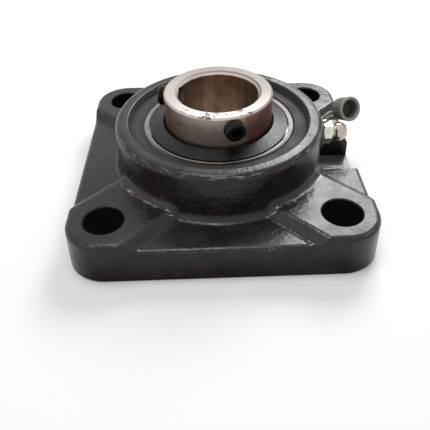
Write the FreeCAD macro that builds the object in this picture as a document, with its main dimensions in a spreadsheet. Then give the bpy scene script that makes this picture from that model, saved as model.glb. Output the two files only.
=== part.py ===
import FreeCAD, Part
import math
import os
import Sketcher
from FreeCAD import Placement, Rotation, Vector

os.makedirs("parts", exist_ok=True)
doc = FreeCAD.newDocument("flange_bearing")

# Driving sizes, in millimetres. The origin is on the bore axis at the mounting face, +Z leaves that face,
# and +X points to the grease nipple.
SIZES = [
    ("bolt_spacing", 70.0),
    ("bolt_hole", 12.0),
    ("ear_round", 12.0),
    ("panel_top", 11.2),
    ("ear_rise", 2.8),
    ("ear_width_top", 23.2),
    ("ear_slope", 2.4),
    ("plate_draft", 3.0),
    ("edge_round", 1.7),
    ("bottom_round", 0.6),
    ("ring_wall", 8.2),
    ("ring_taper", 0.6),
    ("ring_rise", 2.5),
    ("ring_edge_round", 1.9),
    ("ring_base_round", 2.6),
    ("mouth_wall", 4.1),
    ("mouth_slope", 1.0),
    ("mouth_round", 0.5),
    ("hole_chamfer", 0.4),
    ("seat_clearance", 0.05),
    ("seat_inset", 0.2),
    ("land_rise", 0.3),
    ("land_overhang", 0.9),
    ("back_relief", 1.5),
    ("slot_play", 0.4),
    ("notch_floor", 4.5),
    ("notch_width", 16.6),
    ("notch_offset", -1.3),
    ("notch_bite", 0.2),
    ("notch_bevel", 0.7),
    ("outer_width", 17.0),
    ("outer_wall", 2.531),
    ("outer_race_depth", 1.769),
    ("outer_chamfer", 0.3),
    ("seal_step", 1.25),
    ("seal_depth", 2.2),
    ("bore", 25.4),
    ("inner_wall", 4.55),
    ("inner_race_depth", 1.719),
    ("inner_offset", 14.3),
    ("inner_lift", 1.7),
    ("bore_chamfer", 1.0),
    ("inner_chamfer", 0.5),
    ("ball_size", 7.938),
    ("ball_count", 9.0),
    ("race_play", 0.02),
    ("race_ease", 0.161),
    ("grease_offset", 4.6),
    ("grease_groove", 2.2),
    ("grease_depth", 0.6),
    ("grease_hole", 1.8),
    ("cage_gap_inner", 1.15),
    ("cage_gap_outer", 1.1),
    ("cage_sheet", 0.6),
    ("cage_play", 0.13),
    ("rivet_size", 1.1),
    ("rivet_rim", 0.4),
    ("rivet_head_height", 0.4),
    ("fit_play", 0.02),
    ("slinger_gap", 0.45),
    ("slinger_sheet", 0.6),
    ("slinger_rise", 1.4),
    ("slinger_rim_rise", 0.25),
    ("slinger_collar_drop", 0.8),
    ("slinger_bevel", 0.85),
    ("lip_play", 0.05),
    ("lip_width", 1.65),
    ("lip_inset", 1.15),
    ("lip_height", 1.2),
    ("seal_plate_sheet", 0.6),
    ("screw_size", 6.35),
    ("screw_stand", 2.35),
    ("screw_length", 6.0),
    ("screw_play", 0.05),
    ("screw_gap", 2.775),
    ("screw_drop", 3.95),
    ("screw_socket", 3.1),
    ("screw_socket_depth", 2.8),
    ("screw_front_angle", -76.0),
    ("screw_spread", 120.0),
    ("nipple_rise", 3.2),
    ("spot_depth", 0.3),
    ("spot_size", 10.8),
    ("nipple_thread", 6.0),
    ("nipple_thread_play", 0.05),
    ("nipple_thread_length", 5.4),
    ("grease_way", 3.0),
    ("hex_gap", 0.3),
    ("hex_height", 2.9),
    ("hex_shoulder", 1.0),
    ("neck_wall", 1.2),
    ("neck_length", 0.7),
    ("head_flange", 1.6),
    ("head_length", 4.3),
    ("head_slope", 1.1),
    ("nipple_channel", 2.5),
    ("nipple_mouth", 1.3),
    ("check_ball", 1.7),
    ("check_play", 0.02),
    ("mouth_length", 0.35),
    ("spring_size", 1.9),
    ("spring_wire", 0.26),
    ("spring_pitch", 0.95),
    ("spring_turns", 5.0),
    ("spring_steps", 12.0),
    ("loop_play", 0.3),
    ("loop_width", 1.9),
    ("loop_sheet", 1.1),
    ("loop_gap", 0.2),
    ("cap_hole", 6.2),
    ("cap_wall", 0.7),
    ("cap_flare", 0.35),
    ("cap_floor", 1.2),
    ("cap_depth", 5.0),
    ("cap_out", 9.1),
    ("cap_aside", 9.6),
    ("cap_up", 3.1),
    ("cap_yaw", -64.5),
    ("cap_rise", 25.5),
    ("strap_size", 1.3),
    ("strap_upper_lift", 1.6),
    ("strap_upper_bow", 0.6),
    ("strap_upper_start", 8.0),
    ("strap_upper_end", 200.0),
    ("strap_lower_lift", 0.4),
    ("strap_lower_bow", 0.8),
    ("strap_lower_start", 60.0),
    ("strap_lower_end", 250.0),
]

sheet = doc.addObject("Spreadsheet::Sheet", "Sizes")
for row, (alias, value) in enumerate(SIZES, start=1):
    sheet.set(f"A{row}", alias)
    sheet.set(f"B{row}", str(value))
    sheet.setAlias(f"B{row}", alias)
doc.recompute()


class Size:
    """A length that carries both its spreadsheet formula and its present value."""

    def __init__(self, text, value):
        self.text = text
        self.value = float(value)

    def __add__(self, other):
        other = as_size(other)
        return Size(f"({self.text} + {other.text})", self.value + other.value)

    def __sub__(self, other):
        other = as_size(other)
        return Size(f"({self.text} - {other.text})", self.value - other.value)

    def __mul__(self, other):
        other = as_size(other)
        return Size(f"({self.text} * {other.text})", self.value * other.value)

    def __truediv__(self, other):
        other = as_size(other)
        return Size(f"({self.text} / {other.text})", self.value / other.value)

    def __neg__(self):
        return Size(f"(0 - {self.text})", -self.value)

    def __radd__(self, other):
        return as_size(other) + self

    def __rsub__(self, other):
        return as_size(other) - self

    def __rmul__(self, other):
        return as_size(other) * self

    def root(self):
        return Size(f"sqrt({self.text})", math.sqrt(self.value))

    def cosine(self):
        return Size(f"cos({self.text} * 1deg)", math.cos(math.radians(self.value)))

    def sine(self):
        return Size(f"sin({self.text} * 1deg)", math.sin(math.radians(self.value)))


def as_size(value):
    if isinstance(value, Size):
        return value
    return Size(f"{float(value)}", value)


def size(alias):
    return Size(f"Sizes.{alias}", float(sheet.get(alias)))


def bind(item, path, value):
    """Drive one property of an object from the spreadsheet."""
    item.setExpression(path, as_size(value).text)


def new_body(label):
    body = doc.addObject("PartDesign::Body", label)
    body.Label = label
    return body


def origin_plane(body, role):
    for feature in body.Origin.OriginFeatures:
        if feature.Role == role:
            return feature
    raise RuntimeError(f"{body.Label} has no {role}")


def attach(body, sketch, role, height=None, lift=None, turn=None):
    """Put a sketch on an origin plane.

    `height` moves it along the plane's normal, `lift` along its own y axis, and `turn` turns it about that axis.
    """
    sketch.AttachmentSupport = [(origin_plane(body, role), "")]
    sketch.MapMode = "FlatFace"
    base = Vector(0, as_size(lift or 0).value, as_size(height or 0).value)
    turned = Rotation(Vector(0, 1, 0), as_size(turn or 0).value)
    sketch.AttachmentOffset = Placement(base, turned)
    if height is not None:
        bind(sketch, "AttachmentOffset.Base.z", height)
    if lift is not None:
        bind(sketch, "AttachmentOffset.Base.y", lift)
    if turn is not None:
        bind(sketch, "AttachmentOffset.Rotation.Angle", turn)


def hold(sketch, kind, geometry, point, value):
    """Fix one coordinate of a point from the origin and bind it to its formula."""
    value = as_size(value)
    number = sketch.addConstraint(Sketcher.Constraint(kind, -1, 1, geometry, point, value.value))
    sketch.setExpression(f"Constraints[{number}]", value.text)


def outline(body, label, role, corners, **where):
    """A closed outline. A corner is (x, y), or (x, y, centre) where an arc runs on to the next corner.

    The corner after an arc gives only the one coordinate that the arc leaves open, the other being a plain
    starting value: it is (x, y, None, "x") or (x, y, None, "y").
    """
    sketch = body.newObject("Sketcher::SketchObject", label)
    attach(body, sketch, role, **where)
    count = len(corners)
    spots = [Vector(as_size(c[0]).value, as_size(c[1]).value, 0) for c in corners]
    ends = []
    for index, corner in enumerate(corners):
        start = spots[index]
        finish = spots[(index + 1) % count]
        centre = corner[2] if len(corner) > 2 else None
        if centre is None:
            number = sketch.addGeometry(Part.LineSegment(start, finish), False)
            ends.append((number, 1, 2))
            continue
        middle = Vector(as_size(centre[0]).value, as_size(centre[1]).value, 0)
        first = math.atan2(start.y - middle.y, start.x - middle.x)
        last = math.atan2(finish.y - middle.y, finish.x - middle.x)
        forward = (last - first) % (2 * math.pi) < math.pi
        circle = Part.Circle(middle, Vector(0, 0, 1), (start - middle).Length)
        arc = Part.ArcOfCircle(circle, first, last) if forward else Part.ArcOfCircle(circle, last, first)
        number = sketch.addGeometry(arc, False)
        ends.append((number, 1, 2) if forward else (number, 2, 1))
        hold(sketch, "DistanceX", number, 3, centre[0])
        hold(sketch, "DistanceY", number, 3, centre[1])
    for index, corner in enumerate(corners):
        number, begin, _ = ends[index]
        before, _, end = ends[index - 1]
        sketch.addConstraint(Sketcher.Constraint("Coincident", before, end, number, begin))
        held = corner[3] if len(corner) > 3 else "xy"
        if "x" in held:
            hold(sketch, "DistanceX", number, begin, corner[0])
        if "y" in held:
            hold(sketch, "DistanceY", number, begin, corner[1])
    return sketch


def disc(body, label, role, x, y, across, **where):
    """A circle of diameter `across`."""
    sketch = body.newObject("Sketcher::SketchObject", label)
    attach(body, sketch, role, **where)
    x = as_size(x)
    y = as_size(y)
    radius = as_size(across) / 2
    sketch.addGeometry(Part.Circle(Vector(x.value, y.value, 0), Vector(0, 0, 1), radius.value), False)
    hold(sketch, "DistanceX", 0, 3, x)
    hold(sketch, "DistanceY", 0, 3, y)
    number = sketch.addConstraint(Sketcher.Constraint("Radius", 0, radius.value))
    sketch.setExpression(f"Constraints[{number}]", radius.text)
    return sketch


def sweep_round(body, kind, label, sketch, axis="V_Axis"):
    """A PartDesign Revolution or Groove of a full turn."""
    feature = body.newObject(f"PartDesign::{kind}", label)
    feature.Profile = sketch
    feature.ReferenceAxis = (sketch, [axis])
    feature.Angle = 360
    doc.recompute()
    return feature


def push(body, kind, label, sketch, length, reverse=False):
    """A PartDesign Pad or Pocket of a bound length."""
    feature = body.newObject(f"PartDesign::{kind}", label)
    feature.Profile = sketch
    feature.Length = as_size(length).value
    bind(feature, "Length", length)
    feature.Reversed = reverse
    doc.recompute()
    return feature


def repeat(body, label, features, count):
    """A polar pattern about the bore axis."""
    pattern = body.newObject("PartDesign::PolarPattern", label)
    pattern.Originals = features
    pattern.Axis = (origin_plane(body, "Z_Axis"), [""])
    pattern.Angle = 360
    pattern.Occurrences = count
    body.Tip = pattern
    doc.recompute()
    return pattern


def soften(body, kind, label, base, wanted, amount):
    """Fillet or chamfer the edges of `base` that `wanted` picks."""
    names = [f"Edge{n}" for n, edge in enumerate(base.Shape.Edges, start=1) if wanted(edge)]
    if not names:
        raise RuntimeError(f"{label} found no edge")
    feature = body.newObject(f"PartDesign::{kind}", label)
    feature.Base = (base, names)
    path = "Radius" if kind == "Fillet" else "Size"
    setattr(feature, path, as_size(amount).value)
    bind(feature, path, amount)
    doc.recompute()
    return feature


def spin_profile(label, corners):
    """A body made of one outline turned about the bore axis."""
    body = new_body(label)
    sketch = outline(body, f"{label}_profile", "XZ_Plane", corners)
    sweep_round(body, "Revolution", f"{label}_turned", sketch)
    return body


def level(edge):
    """Lowest and highest point of an edge."""
    box = edge.BoundBox
    return box.ZMin, box.ZMax


def reach(edge):
    """Distance of an edge's middle from the bore axis."""
    middle = edge.valueAt((edge.FirstParameter + edge.LastParameter) / 2)
    return math.hypot(middle.x, middle.y)


# Radii from the bore outwards, and heights from the mounting face up. Each takes the one before it.
fit_play = size("fit_play")
bore_radius = size("bore") / 2
inner_radius = bore_radius + size("inner_wall")
ball_radius = size("ball_size") / 2
pitch_radius = inner_radius - size("inner_race_depth") + ball_radius
outer_land = pitch_radius + ball_radius - size("outer_race_depth")
outer_mouth = outer_land + size("seal_step")
seat_radius = pitch_radius + ball_radius + size("outer_wall")
ring_base_radius = seat_radius + size("ring_wall")
ring_top_radius = ring_base_radius - size("ring_taper")
mouth_radius = ring_top_radius - size("mouth_wall")
inner_low = size("inner_lift")
ball_centre = inner_low + size("inner_offset")
outer_half = size("outer_width") / 2
land_level = ball_centre + outer_half + size("land_rise")
ring_top = ball_centre + outer_half + size("ring_rise")
slinger_top = outer_half + size("slinger_rise")
screw_radius = size("screw_size") / 2
screw_level = ball_centre + slinger_top + size("screw_gap") + screw_radius
inner_high = screw_level + size("screw_drop")
hole_place = size("bolt_spacing") / 2
half_side = hole_place + size("ear_round")
panel_top = size("panel_top")
ear_top = panel_top + size("ear_rise")


# Housing.
def plate_outline(body):
    """The square plate with its corners rounded about the bolt holes."""
    corners = []
    for side_x, side_y in ((1, -1), (1, 1), (-1, 1), (-1, -1)):
        turn_first = side_x * side_y < 0
        centre = (side_x * hole_place, side_y * hole_place)
        on_x = (side_x * half_side, centre[1])
        on_y = (centre[0], side_y * half_side)
        first, second = (on_y, on_x) if turn_first else (on_x, on_y)
        held = "y" if turn_first else "x"
        corners.append((first[0], first[1], centre))
        corners.append((second[0], second[1], None, held))
    return outline(body, "plate_outline", "XY_Plane", corners)


def panel_outline(body, label, width, height):
    """The lowered field between two ears, cut wider than the plate and into the ring wall."""
    outer = half_side * 1.2
    inner = ring_base_radius * 0.72
    back = width / math.sqrt(2)
    corners = [
        (-(outer - back), -outer),
        (outer - back, -outer),
        (inner - back, -inner),
        (-(inner - back), -inner),
    ]
    return outline(body, label, "XY_Plane", corners, height=height)


def edge_points(edge):
    first, last = edge.FirstParameter, edge.LastParameter
    return [edge.valueAt(first + share * (last - first)) for share in (0, 0.5, 1)]


def close_to(one, other):
    return abs(one - as_size(other).value) < 0.02


def on_rim(edge):
    """Top edges on the outside of the plate."""
    limit = half_side.value - 1.1
    centre = hole_place.value
    for point in edge_points(edge):
        across, along = abs(point.x), abs(point.y)
        if point.z < panel_top.value - 0.1 or (max(across, along) < limit and min(across, along) < centre):
            return False
    return True


def along_ear(edge):
    """Long edges beside an ear, at its top or at its foot."""
    middle = edge.tangentAt((edge.FirstParameter + edge.LastParameter) / 2)
    slanted = abs(abs(middle.x) - abs(middle.y)) < 0.04 and abs(middle.z) < 0.02
    low = level(edge)[0]
    return slanted and edge.Length > 15 and (close_to(low, panel_top) or close_to(low, ear_top))


def at_ring_base(edge):
    limit = ring_base_radius.value + 0.2
    if level(edge)[0] < panel_top.value - 0.1 or level(edge)[1] > ear_top.value + 0.3:
        return False
    return all(math.hypot(point.x, point.y) < limit for point in edge_points(edge))


housing = new_body("housing")
plate = push(housing, "Pad", "plate", plate_outline(housing), ear_top)
plate.TaperAngle = -size("plate_draft").value
bind(plate, "TaperAngle", -size("plate_draft"))
doc.recompute()

foot_width = size("ear_width_top") + size("ear_slope") * 2
foot_outline = panel_outline(housing, "panel_foot", foot_width, panel_top)
rim_outline = panel_outline(housing, "panel_rim", size("ear_width_top"), ear_top)
panel = housing.newObject("PartDesign::SubtractiveLoft", "panel")
panel.Profile = foot_outline
panel.Sections = [rim_outline]
panel.Ruled = True
doc.recompute()
repeat(housing, "panels", [panel], 4)

ring_corners = [
    (0, 1),
    (ring_base_radius, 1),
    (ring_base_radius, panel_top - 1),
    (ring_top_radius, ring_top),
    (0, ring_top),
]
ring = sweep_round(housing, "Revolution", "ring", outline(housing, "ring_profile", "XZ_Plane", ring_corners))
valleys = soften(
    housing,
    "Fillet",
    "valleys",
    ring,
    lambda edge: at_ring_base(edge) or (along_ear(edge) and not on_rim(edge)),
    size("ring_base_round"),
)
rim = soften(housing, "Fillet", "rim", valleys, on_rim, size("edge_round"))
bottom = soften(housing, "Fillet", "bottom", rim, lambda edge: level(edge)[1] < 0.01, size("bottom_round"))
crown = soften(
    housing,
    "Fillet",
    "crown",
    bottom,
    lambda edge: close_to(level(edge)[0], ring_top),
    size("ring_edge_round"),
)

# The opening through the housing: mouth, land, spherical seat and the wider hole behind it.
seat_half = outer_half - size("seat_inset")
seat_mouth = (seat_radius * seat_radius - seat_half * seat_half).root()
land_radius = seat_radius - size("land_overhang")
back_radius = seat_radius + size("back_relief")
cavity_corners = [
    (0, ring_top + 1),
    (mouth_radius, ring_top + 1),
    (mouth_radius, ring_top),
    (mouth_radius - size("mouth_slope"), land_level),
    (land_radius, land_level),
    (seat_mouth, ball_centre + seat_half, (0, ball_centre)),
    (seat_mouth, ball_centre - seat_half, None, "y"),
    (back_radius, ball_centre - seat_half),
    (back_radius, -1),
    (0, -1),
]
cavity = sweep_round(housing, "Groove", "cavity", outline(housing, "cavity_profile", "XZ_Plane", cavity_corners))


def mouth_edge(edge):
    return close_to(level(edge)[0], ring_top) and close_to(reach(edge), mouth_radius)


soften(housing, "Fillet", "mouth", cavity, mouth_edge, size("mouth_round"))

# Slots behind the seat, through which the insert is loaded edgeways and then turned.
slot_half_width = outer_half + size("slot_play") / 2
slot_half_length = seat_radius + size("slot_play") / 2
slot_corners = [
    (-slot_half_width, -slot_half_length),
    (slot_half_width, -slot_half_length),
    (slot_half_width, slot_half_length),
    (-slot_half_width, slot_half_length),
]
push(
    housing,
    "Pocket",
    "loading_slots",
    outline(housing, "slot_outline", "XY_Plane", slot_corners),
    ball_centre,
    reverse=True,
)

bolt_outline = disc(housing, "bolt_outline", "XY_Plane", hole_place, hole_place, size("bolt_hole"))
bolt_hole = push(housing, "Pocket", "bolt_hole", bolt_outline, ear_top + 1, reverse=True)
bolt_holes = repeat(housing, "bolt_holes", [bolt_hole], 4)


def bolt_edge(edge):
    middle = edge_points(edge)[1]
    away = math.hypot(abs(middle.x) - hole_place.value, abs(middle.y) - hole_place.value)
    return close_to(away, size("bolt_hole") / 2) and close_to(level(edge)[0], level(edge)[1])


soften(housing, "Chamfer", "bolt_chamfers", bolt_holes, bolt_edge, size("hole_chamfer"))

# The notch in the right-hand panel that makes room for a grease coupler.
notch_radius = ring_base_radius - size("notch_bite")
notch_low = size("notch_offset") - size("notch_width") / 2
notch_high = size("notch_offset") + size("notch_width") / 2
notch_out = half_side + 1
notch_corners = [
    ((notch_radius * notch_radius - notch_low * notch_low).root(), notch_low, (0, 0)),
    ((notch_radius * notch_radius - notch_high * notch_high).root(), notch_high, None, "y"),
    (notch_out, notch_high),
    (notch_out, notch_low),
]
push(
    housing,
    "Pocket",
    "notch",
    outline(housing, "notch_outline", "XY_Plane", notch_corners, height=size("notch_floor")),
    ear_top,
    reverse=True,
)


def flare_outline(label, height, widening):
    """The notch from above, wider by `widening` at each side."""
    corners = [
        (ring_base_radius, notch_low - widening),
        (notch_out, notch_low - widening),
        (notch_out, notch_high + widening),
        (ring_base_radius, notch_high + widening),
    ]
    return outline(housing, label, "XY_Plane", corners, height=height)


flare_start = panel_top - size("notch_bevel")
flare_rise = ear_top - flare_start
flare = housing.newObject("PartDesign::SubtractiveLoft", "notch_flare")
flare.Profile = flare_outline("flare_low", flare_start, 0)
flare.Sections = [flare_outline("flare_high", ear_top, flare_rise)]
flare.Ruled = True
doc.recompute()

# Spot face, tapped hole and grease way for the nipple, all about one axis.
nipple_level = ball_centre + size("nipple_rise")
spot_face = ring_top_radius - size("spot_depth")
spot_radius = size("spot_size") / 2
thread_radius = size("nipple_thread") / 2
thread_end = spot_face - size("nipple_thread_length") - 0.6
nipple_corners = [
    (seat_radius - 2, 0),
    (seat_radius - 2, size("grease_way") / 2),
    (thread_end, size("grease_way") / 2),
    (thread_end, thread_radius),
    (spot_face, thread_radius),
    (spot_face, spot_radius),
    (half_side, spot_radius),
    (half_side, 0),
]
nipple_profile = outline(housing, "nipple_hole_profile", "XZ_Plane", nipple_corners, lift=nipple_level)
sweep_round(housing, "Groove", "nipple_hole", nipple_profile, "H_Axis")

# Outer ring.
race_round = ball_radius + size("race_ease")
race_play = size("race_play")
outer_sphere = seat_radius - size("seat_clearance")
chamfer_half = outer_half - size("outer_chamfer")
outer_shoulder = (outer_sphere * outer_sphere - chamfer_half * chamfer_half).root()
outer_race_centre = pitch_radius + ball_radius + race_play - race_round
outer_race_half = (
    race_round * race_round - (outer_land - outer_race_centre) * (outer_land - outer_race_centre)
).root()
ledge = outer_half - size("seal_depth")
outer_corners = [
    (outer_shoulder, ball_centre + chamfer_half, (0, ball_centre)),
    (outer_shoulder, ball_centre - chamfer_half, None, "y"),
    (outer_shoulder - size("outer_chamfer"), ball_centre - outer_half),
    (outer_mouth, ball_centre - outer_half),
    (outer_mouth, ball_centre - ledge),
    (outer_land, ball_centre - ledge),
    (outer_land, ball_centre - outer_race_half, (outer_race_centre, ball_centre)),
    (outer_land, ball_centre + outer_race_half, None, "y"),
    (outer_land, ball_centre + ledge),
    (outer_mouth, ball_centre + ledge),
    (outer_mouth, ball_centre + outer_half),
    (outer_shoulder - size("outer_chamfer"), ball_centre + outer_half),
]
outer_ring = spin_profile("outer_ring", outer_corners)
grease_level = ball_centre + size("grease_offset")
groove_half = size("grease_groove") / 2
groove_floor = (
    outer_sphere * outer_sphere - size("grease_offset") * size("grease_offset")
).root() - size("grease_depth")
groove_corners = [
    (groove_floor, grease_level - groove_half),
    (seat_radius + 1, grease_level - groove_half),
    (seat_radius + 1, grease_level + groove_half),
    (groove_floor, grease_level + groove_half),
]
groove_profile = outline(outer_ring, "grease_groove_profile", "XZ_Plane", groove_corners)
sweep_round(outer_ring, "Groove", "grease_groove", groove_profile)
grease_outline = disc(outer_ring, "grease_hole_outline", "YZ_Plane", 0, grease_level, size("grease_hole"))
push(outer_ring, "Pocket", "grease_hole", grease_outline, seat_radius + 1, reverse=True)

# Inner ring.
inner_race_centre = pitch_radius - ball_radius - race_play + race_round
inner_race_half = (
    race_round * race_round - (inner_race_centre - inner_radius) * (inner_race_centre - inner_radius)
).root()
bore_chamfer = size("bore_chamfer")
inner_chamfer = size("inner_chamfer")
inner_corners = [
    (bore_radius, inner_low + bore_chamfer),
    (bore_radius + bore_chamfer, inner_low),
    (inner_radius - inner_chamfer, inner_low),
    (inner_radius, inner_low + inner_chamfer),
    (inner_radius, ball_centre - inner_race_half, (inner_race_centre, ball_centre)),
    (inner_radius, ball_centre + inner_race_half, None, "y"),
    (inner_radius, inner_high - inner_chamfer),
    (inner_radius - inner_chamfer, inner_high),
    (bore_radius + bore_chamfer, inner_high),
    (bore_radius, inner_high - bore_chamfer),
]
inner_ring = spin_profile("inner_ring", inner_corners)
screw_angles = [
    ("front", size("screw_front_angle")),
    ("left", size("screw_front_angle") - size("screw_spread")),
]
for place, angle in screw_angles:
    hole = disc(
        inner_ring,
        f"screw_hole_{place}_outline",
        "YZ_Plane",
        0,
        screw_level,
        size("screw_size") + size("screw_play") * 2,
        turn=angle,
    )
    push(inner_ring, "Pocket", f"screw_hole_{place}", hole, inner_radius + 2, reverse=True)

# Balls.
for index in range(int(size("ball_count").value)):
    angle = as_size(360 * index) / size("ball_count")
    ball = doc.addObject("Part::Sphere", f"ball_{index + 1}")
    ball.Label = f"ball_{index + 1}"
    bind(ball, "Radius", ball_radius)
    bind(ball, "Placement.Base.x", pitch_radius * angle.cosine())
    bind(ball, "Placement.Base.y", pitch_radius * angle.sine())
    bind(ball, "Placement.Base.z", ball_centre)


def pocket_sphere(body, kind, label, radius):
    """A sphere about the first ball, repeated for each ball."""
    sphere = body.newObject(f"PartDesign::{kind}Sphere", label)
    bind(sphere, "Radius", radius)
    sphere.Placement = Placement(Vector(pitch_radius.value, 0, ball_centre.value), Rotation())
    bind(sphere, "Placement.Base.x", pitch_radius)
    bind(sphere, "Placement.Base.z", ball_centre)
    doc.recompute()
    return repeat(body, f"{label}s", [sphere], int(size("ball_count").value))


# Cage, two pressed halves that meet at the ball centres.
cage_inner = inner_radius + size("cage_gap_inner")
cage_outer = outer_land - size("cage_gap_outer")
cage_sheet = size("cage_sheet")
pocket_radius = ball_radius + size("cage_play")
half_step = as_size(180) / size("ball_count")
rivet_x = pitch_radius * half_step.cosine()
rivet_y = pitch_radius * half_step.sine()
for place, side in (("upper", 1), ("lower", -1)):
    cage = spin_profile(
        f"cage_{place}",
        [
            (cage_inner, ball_centre),
            (cage_outer, ball_centre),
            (cage_outer, ball_centre + side * cage_sheet),
            (cage_inner, ball_centre + side * cage_sheet),
        ],
    )
    pocket_sphere(cage, "Additive", "pocket_shell", pocket_radius + cage_sheet)
    far = ball_centre + side * ball_radius * 2
    back = ball_centre - side * ball_radius * 2
    trim_corners = [
        (0, far),
        (cage_inner, far),
        (cage_inner, ball_centre),
        (cage_outer, ball_centre),
        (cage_outer, far),
        (seat_radius, far),
        (seat_radius, back),
        (0, back),
    ]
    sweep_round(cage, "Groove", "pocket_trim", outline(cage, "trim_profile", "XZ_Plane", trim_corners))
    pocket_sphere(cage, "Subtractive", "pocket_hollow", pocket_radius)
    rivet_hole = disc(
        cage,
        "rivet_hole_outline",
        "XY_Plane",
        rivet_x,
        rivet_y,
        size("rivet_size") + fit_play * 2,
        height=ball_centre - cage_sheet * 2,
    )
    drilled = push(cage, "Pocket", "rivet_hole", rivet_hole, cage_sheet * 4, reverse=True)
    repeat(cage, "rivet_holes", [drilled], int(size("ball_count").value))

rivets = new_body("cage_rivets")
rivets.AllowCompound = True
shank = disc(rivets, "shank", "XY_Plane", rivet_x, rivet_y, size("rivet_size"), height=ball_centre - cage_sheet)
shank_pad = push(rivets, "Pad", "rivet_shank", shank, cage_sheet * 2)
rivet_parts = [shank_pad]
for place, side in (("top", 1), ("bottom", -1)):
    head = disc(
        rivets,
        f"head_{place}",
        "XY_Plane",
        rivet_x,
        rivet_y,
        size("rivet_size") + size("rivet_rim") * 2,
        height=ball_centre + side * cage_sheet,
    )
    rivet_parts.append(
        push(rivets, "Pad", f"rivet_head_{place}", head, size("rivet_head_height"), reverse=side < 0)
    )
repeat(rivets, "rivets", rivet_parts, int(size("ball_count").value))

# Seals and slingers on both sides of the balls.
collar_inner = inner_radius + fit_play
slinger_sheet = size("slinger_sheet")
slinger_rim = outer_mouth - size("slinger_gap")
slinger_bevel = size("slinger_bevel")
slinger_edge = outer_half + size("slinger_rim_rise")
slinger_foot = outer_half - size("slinger_collar_drop")
lip_outer = inner_radius + size("lip_width")
lip_top = outer_half - size("lip_inset")
seal_foot = ledge + fit_play
for place, side in (("upper", 1), ("lower", -1)):
    slinger_rises = [
        (collar_inner, slinger_foot),
        (collar_inner, slinger_top - slinger_bevel),
        (collar_inner + slinger_bevel, slinger_top),
        (slinger_rim, slinger_edge),
        (slinger_rim, slinger_edge - slinger_sheet),
        (collar_inner + slinger_bevel, slinger_top - slinger_sheet),
        (collar_inner + slinger_sheet, slinger_top - slinger_sheet - slinger_bevel / 2),
        (collar_inner + slinger_sheet, slinger_foot),
    ]
    spin_profile(f"slinger_{place}", [(r, ball_centre + side * rise) for r, rise in slinger_rises])
    lip_rises = [
        (inner_radius + size("lip_play"), lip_top - size("lip_height") * 0.65),
        (inner_radius + size("lip_play"), lip_top - size("lip_height") * 0.35),
        (inner_radius + slinger_sheet, lip_top),
        (lip_outer, lip_top),
        (lip_outer, lip_top - size("lip_height")),
        (inner_radius + slinger_sheet, lip_top - size("lip_height")),
    ]
    spin_profile(f"seal_lip_{place}", [(r, ball_centre + side * rise) for r, rise in lip_rises])
    plate_rises = [
        (lip_outer + fit_play, seal_foot),
        (outer_mouth - fit_play, seal_foot),
        (outer_mouth - fit_play, seal_foot + size("seal_plate_sheet")),
        (lip_outer + fit_play, seal_foot + size("seal_plate_sheet")),
    ]
    spin_profile(f"seal_plate_{place}", [(r, ball_centre + side * rise) for r, rise in plate_rises])


def hexagon(body, label, flats, height):
    """A hexagon about the local X axis, with a corner at the top."""
    corner = flats / math.sqrt(3)
    corners = []
    for index in range(6):
        angle = math.radians(90 + 60 * index)
        corners.append((corner * round(math.cos(angle), 9), corner * round(math.sin(angle), 9)))
    return outline(body, label, "YZ_Plane", corners, height=height)


# Set screws, made along the local X axis with their outer end at the origin.
screw_end = inner_radius + size("screw_stand")
for place, angle in screw_angles:
    screw = new_body(f"set_screw_{place}")
    length = size("screw_length")
    screw_corners = [
        (-length + 0.7, 0),
        (-length, screw_radius * 0.5),
        (-length, screw_radius * 0.72),
        (-length + screw_radius * 0.28, screw_radius),
        (-0.45, screw_radius),
        (0, screw_radius - 0.45),
        (0, 0),
    ]
    screw_profile = outline(screw, f"set_screw_{place}_profile", "XZ_Plane", screw_corners)
    sweep_round(screw, "Revolution", f"set_screw_{place}_turned", screw_profile, "H_Axis")
    socket = hexagon(screw, f"set_screw_{place}_socket_outline", size("screw_socket"), 0)
    push(screw, "Pocket", f"set_screw_{place}_socket", socket, size("screw_socket_depth"))
    screw.Placement = Placement(Vector(0, 0, 0), Rotation(Vector(0, 0, 1), angle.value))
    bind(screw, "Placement.Rotation.Angle", angle)
    bind(screw, "Placement.Base.x", screw_end * angle.cosine())
    bind(screw, "Placement.Base.y", screw_end * angle.sine())
    bind(screw, "Placement.Base.z", screw_level)
    doc.recompute()

# Grease nipple, made along the local X axis from the spot face.
nipple = new_body("nipple_body")
hex_start = size("loop_gap") + size("loop_sheet") + size("hex_gap")
hex_end = hex_start + size("hex_height")
neck_end = hex_end + size("neck_length")
tip = neck_end + size("head_length")
channel = size("nipple_channel") / 2
neck_radius = channel + size("neck_wall")
head_radius = neck_radius + size("head_flange") / 2
mouth = size("nipple_mouth") / 2
check_radius = size("check_ball") / 2
wire_radius = size("spring_wire") / 2
coil_radius = (size("spring_size") - size("spring_wire")) / 2
check_depth = (check_radius + size("check_play")) * math.sqrt(2) + size("mouth_length") - mouth
coil_reach = check_radius + wire_radius + size("check_play")
coil_front = tip - check_depth - (coil_reach * coil_reach - coil_radius * coil_radius).root()
spring_length = size("spring_turns") * size("spring_pitch")
chamber_floor = coil_front - spring_length - wire_radius - size("check_play")
shank_radius = thread_radius - size("nipple_thread_play")
throat = tip - size("mouth_length")
body_corners = [
    (-size("nipple_thread_length"), mouth),
    (-size("nipple_thread_length"), shank_radius - 0.4),
    (-size("nipple_thread_length") + 0.4, shank_radius),
    (hex_start + 0.3, shank_radius),
    (hex_start + 0.3, neck_radius),
    (neck_end, neck_radius),
    (neck_end + 0.8, head_radius),
    (tip - 1.9, head_radius),
    (tip, head_radius - size("head_slope")),
    (tip, mouth),
    (throat, mouth),
    (throat - (channel - mouth), channel),
    (chamber_floor, channel),
    (chamber_floor, mouth),
]
nipple_turned = outline(nipple, "nipple_profile", "XZ_Plane", body_corners)
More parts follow.
